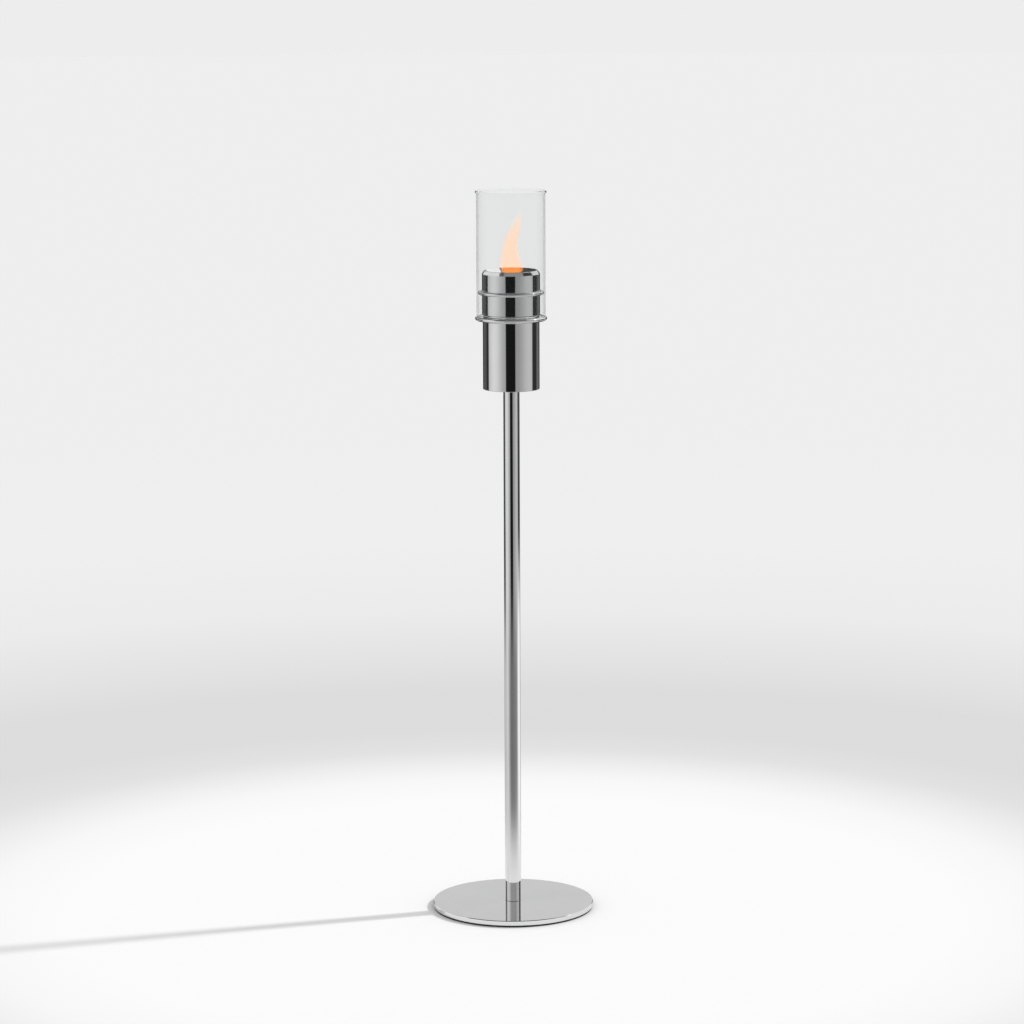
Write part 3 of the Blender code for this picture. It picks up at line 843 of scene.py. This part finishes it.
def make_flame():
    """Thin shells, one inside the other, that glow brighter the more of them a line of sight crosses."""
    wick_top = highest("wick")
    low, high = FLAME_OUTLINE[0][0], FLAME_OUTLINE[-1][0]
    for number, size in enumerate(FLAME_SHELLS, start=1):
        outline_rings = []
        mesh = bmesh.new()
        for row in range(FLAME_ROWS + 1):
            level = low + (high - low) * row / FLAME_ROWS
            shift, half = smooth_between(FLAME_OUTLINE, level)
            follow = FLAME_SHELL_HEIGHT + (1.0 - FLAME_SHELL_HEIGHT) * size
            height = wick_top + low + (level - low) * follow
            ring = []
            for step in range(FLAME_STEPS):
                angle = FULL_TURN * step / FLAME_STEPS
                lobes = 1.0
                for count, depth, twist in FLAME_LOBES:
                    lobes += depth * math.sin(count * angle + twist * level)
                reach = max(half, FLAME_TIP_HALF) * size * lobes
                corner = (shift + reach * math.cos(angle), reach * math.sin(angle), height)
                ring.append(mesh.verts.new(corner))
            outline_rings.append(ring)
        for below, above in zip(outline_rings, outline_rings[1:]):
            for step in range(FLAME_STEPS):
                after = (step + 1) % FLAME_STEPS
                mesh.faces.new((below[step], below[after], above[after], above[step]))
        mesh.faces.new(outline_rings[0])
        mesh.faces.new(outline_rings[-1])
        bmesh.ops.recalc_face_normals(mesh, faces=mesh.faces)
        data = bpy.data.meshes.new(f"flame_shell_{number}")
        mesh.to_mesh(data)
        mesh.free()
        data.shade_smooth()
        data.materials.append(looks["flame"])
        shell = bpy.data.objects.new(data.name, data)
        bpy.context.scene.collection.objects.link(shell)
        shell.visible_shadow = False
        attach(shell, "wick")


# ---------------------------------------------------------------- studio

def make_camera():
    data = bpy.data.cameras.new("camera")
    data.lens = CAMERA_LENS
    data.sensor_width = CAMERA_SENSOR
    data.clip_end = 100.0
    camera = bpy.data.objects.new("camera", data)
    camera.location = CAMERA_PLACE
    camera.rotation_euler = (math.radians(90.0) - CAMERA_TILT, CAMERA_ROLL, 0.0)
    bpy.context.scene.collection.objects.link(camera)
    bpy.context.scene.camera = camera


def studio_rays(graph):
    """Which rays have left a mirror, which of these only turned round inside the glass cylinder's own wall,
    and how near to the mirror they have ended."""
    path = graph.node("LightPath")
    reflected = graph.math("GREATER_THAN", path.outputs["Glossy Depth"], 0.5)
    reflected = graph.math("SUBTRACT", reflected, path.outputs["Diffuse Depth"], clamp=True)
    in_wall = graph.math("LESS_THAN", graph.math("ABSOLUTE", graph.math(
        "SUBTRACT", path.outputs["Transmission Depth"], 2.0)), 0.5)
    near = graph.spread(path.outputs["Ray Length"], *MIRRORED_FLOOR, 1.0, 0.0, smooth=True)
    return reflected, in_wall, near


def make_floor():
    """A large floor whose colour carries painted light: white round the torch, then a painted shade band a
    little darker further out. Mirrors show it only close
    by: further off, the world's own ground takes its place in them."""
    mesh = bmesh.new()
    bmesh.ops.create_circle(mesh, cap_ends=True, segments=128, radius=FLOOR_RADIUS)
    data = bpy.data.meshes.new("floor")
    mesh.to_mesh(data)
    mesh.free()
    floor = bpy.data.objects.new("floor", data)
    floor.location.z = -FLOOR_DROP
    bpy.context.scene.collection.objects.link(floor)

    material, graph = new_material("floor")
    x, y = graph.split(graph.place())[:2]
    pale = graph.node("BsdfDiffuse")
    # painted light: the floor's colour is pale round the torch and darker in a band further out, in place of
    # light falloff
    graph.feed(pale.inputs["Color"], graph.ramp(graph.length(x, y), FLOOR_PAINTED_LIGHT, 0.0, FLOOR_PAINTED_LIGHT[-1][0]))
    reflected, _, near = studio_rays(graph)
    far = graph.math("SUBTRACT", reflected, near, clamp=True)
    gone = graph.math("MAXIMUM", far, graph.node("NewGeometry").outputs["Backfacing"])
    chosen = graph.node("MixShader")
    graph.feed(chosen.inputs[0], gone)
    graph.feed(chosen.inputs[1], pale.outputs[0])
    graph.feed(chosen.inputs[2], graph.node("BsdfTransparent").outputs[0])
    graph.surface(chosen.outputs[0])
    data.materials.append(material)


def make_world():
    """Plain pale light all round; mirrors show soft panels and dark gaps, as in a product studio."""
    world = bpy.data.worlds.new("studio")
    world.use_nodes = True
    bpy.context.scene.world = world
    graph = Graph(world.node_tree)
    x, y, z = graph.split(graph.node("TexCoord").outputs["Generated"])[:3]
    azimuth = graph.math("ARCTAN2", x, graph.math("MULTIPLY", y, -1.0))
    azimuth = graph.math("MULTIPLY", azimuth, math.degrees(1.0))
    elevation = graph.math("MULTIPLY", graph.math("ARCSINE", z), math.degrees(1.0))
    aside = graph.math("ABSOLUTE", azimuth)

    def around(band):
        """A band's brightness at each azimuth."""
        return graph.ramp(azimuth, band, -180.0, 180.0)

    def past(edge, place, blur, **settings):
        """How far an elevation is past a sloping edge: 0 before its blur and 1 beyond it."""
        line = graph.spread(place, *edge)
        return graph.spread(graph.math("SUBTRACT", elevation, line), *blur, **settings)

    def patch(*edges):
        """1 inside all of a patch's edges, falling off to 0 outside."""
        share = graph.spread(*edges[0], smooth=True)
        for edge in edges[1:]:
            share = graph.math("MULTIPLY", share, graph.spread(*edge, smooth=True))
        return share

    ceiling = graph.mix(past(LOW_CEILING_TOP, aside, LOW_CEILING_TOP_BLUR),
                        around(LOW_CEILING), around(HIGH_CEILING))
    ceiling = graph.mix(graph.spread(elevation, *ZENITH_EDGE, smooth=True), ceiling, grey(ZENITH))
    over_stripe = patch((elevation, *OVER_STRIPE_FOOT), (aside, *OVER_STRIPE_SIDES))
    panels = graph.mix(over_stripe, around(PANELS), grey(OVER_STRIPE))
    upper = graph.mix(past(PANEL_TOP, aside, PANEL_TOP_BLUR, smooth=True), panels, ceiling)
    behind = patch((aside, *BACK_WALL_SIDES), (elevation, *BACK_WALL_FOOT), (elevation, *BACK_WALL_TOP))
    upper = graph.mix(behind, upper, grey(BACK_WALL))

    ground = graph.mix(graph.spread(elevation, *NEAR_GROUND_EDGE, smooth=True),
                       around(FAR_GROUND), around(NEAR_GROUND))
    ground = graph.mix(graph.spread(elevation, *DEEP_GROUND_EDGE, smooth=True), ground,
                       graph.ramp(aside, DEEP_GROUND, 0.0, 180.0))
    rear = patch((aside, *BACK_GROUND_SIDES), (elevation, *BACK_GROUND_FOOT))
    ground = graph.mix(rear, ground, grey(BACK_GROUND))
    studio = graph.mix(past(PANEL_FOOT, azimuth, PANEL_FOOT_BLUR, smooth=True), upper, ground)

    path = graph.node("LightPath")
    seen = graph.math("MAXIMUM", path.outputs["Is Camera Ray"],
                      graph.math("GREATER_THAN", path.outputs["Transmission Depth"], 0.5))
    pale = graph.mix(seen, grey(FILL_LIGHT), grey(BACKDROP))
    reflected, in_wall, _ = studio_rays(graph)
    in_wall = graph.math("MULTIPLY", in_wall, graph.spread(elevation, *IN_WALL_FADE, 1.0, 0.0))
    mirrored = graph.math("SUBTRACT", reflected, in_wall, clamp=True)
    light = graph.node("Background")
    graph.feed(light.inputs["Color"], graph.mix(mirrored, pale, studio))
    graph.tree.links.new(light.outputs[0], graph.node("OutputWorld").inputs["Surface"])


def make_key_light():
    """A soft sun from the right and a little behind, which throws the pole's thin shadow to the left."""
    data = bpy.data.lights.new("key", "SUN")
    data.energy = KEY_STRENGTH
    data.angle = KEY_WIDTH
    key = bpy.data.objects.new("key", data)
    toward = Vector((math.cos(KEY_AZIMUTH), math.sin(KEY_AZIMUTH), math.tan(KEY_ELEVATION)))
    key.rotation_euler = toward.to_track_quat("Z", "Y").to_euler()
    bpy.context.scene.collection.objects.link(key)


def set_up_picture():
    scene = bpy.context.scene
    scene.view_settings.view_transform = "Standard"
    scene.cycles.transparent_max_bounces = 40
    scene.cycles.transmission_bounces = 16
    scene.cycles.max_bounces = 20
    scene.cycles.caustics_reflective = False
    scene.cycles.caustics_refractive = False


looks = {
    "polished_steel": metal("polished_steel", (0.74, 0.74, 0.745), (0.78, 0.78, 0.785), 0.025, 0.06,
                            0.0006 * MM),
    "plain_steel": metal("plain_steel", (0.52, 0.52, 0.53), (0.64, 0.64, 0.65), 0.22, 0.38, 0.01 * MM, 24.0),
    "zinc_steel": zinc_look(),
    "brass": brass_look(),
    "rubber": rubber_look(),
    "wick_fibre": wick_look(),
    "clear_glass": glass_look(),
    "flame": flame_look(),
}

make_foot()
make_washer("foot_washer", "base_washer")
make_bolt("foot_bolt", "base_bolt", 1.0)
make_pole()
make_cup()
make_washer("cup_floor_washer", "cup_washer")
make_bolt("cup_floor_bolt", "cup_bolt", -1.0)
make_ring("glass_rest_ring", "lower_ring", outer_radius("holder_cup"))
make_ring("glass_guide_ring", "upper_ring", outer_radius("burner_head"))
make_oil_can()
make_burner()
make_wick_holder()
make_wick()
make_glass()
make_flame()
for insert in ("pole_foot_insert", "pole_head_insert"):
    frame["nodes"][insert].material_slots[0].material = looks["zinc_steel"]

make_floor()
make_world()
make_key_light()
make_camera()
set_up_picture()
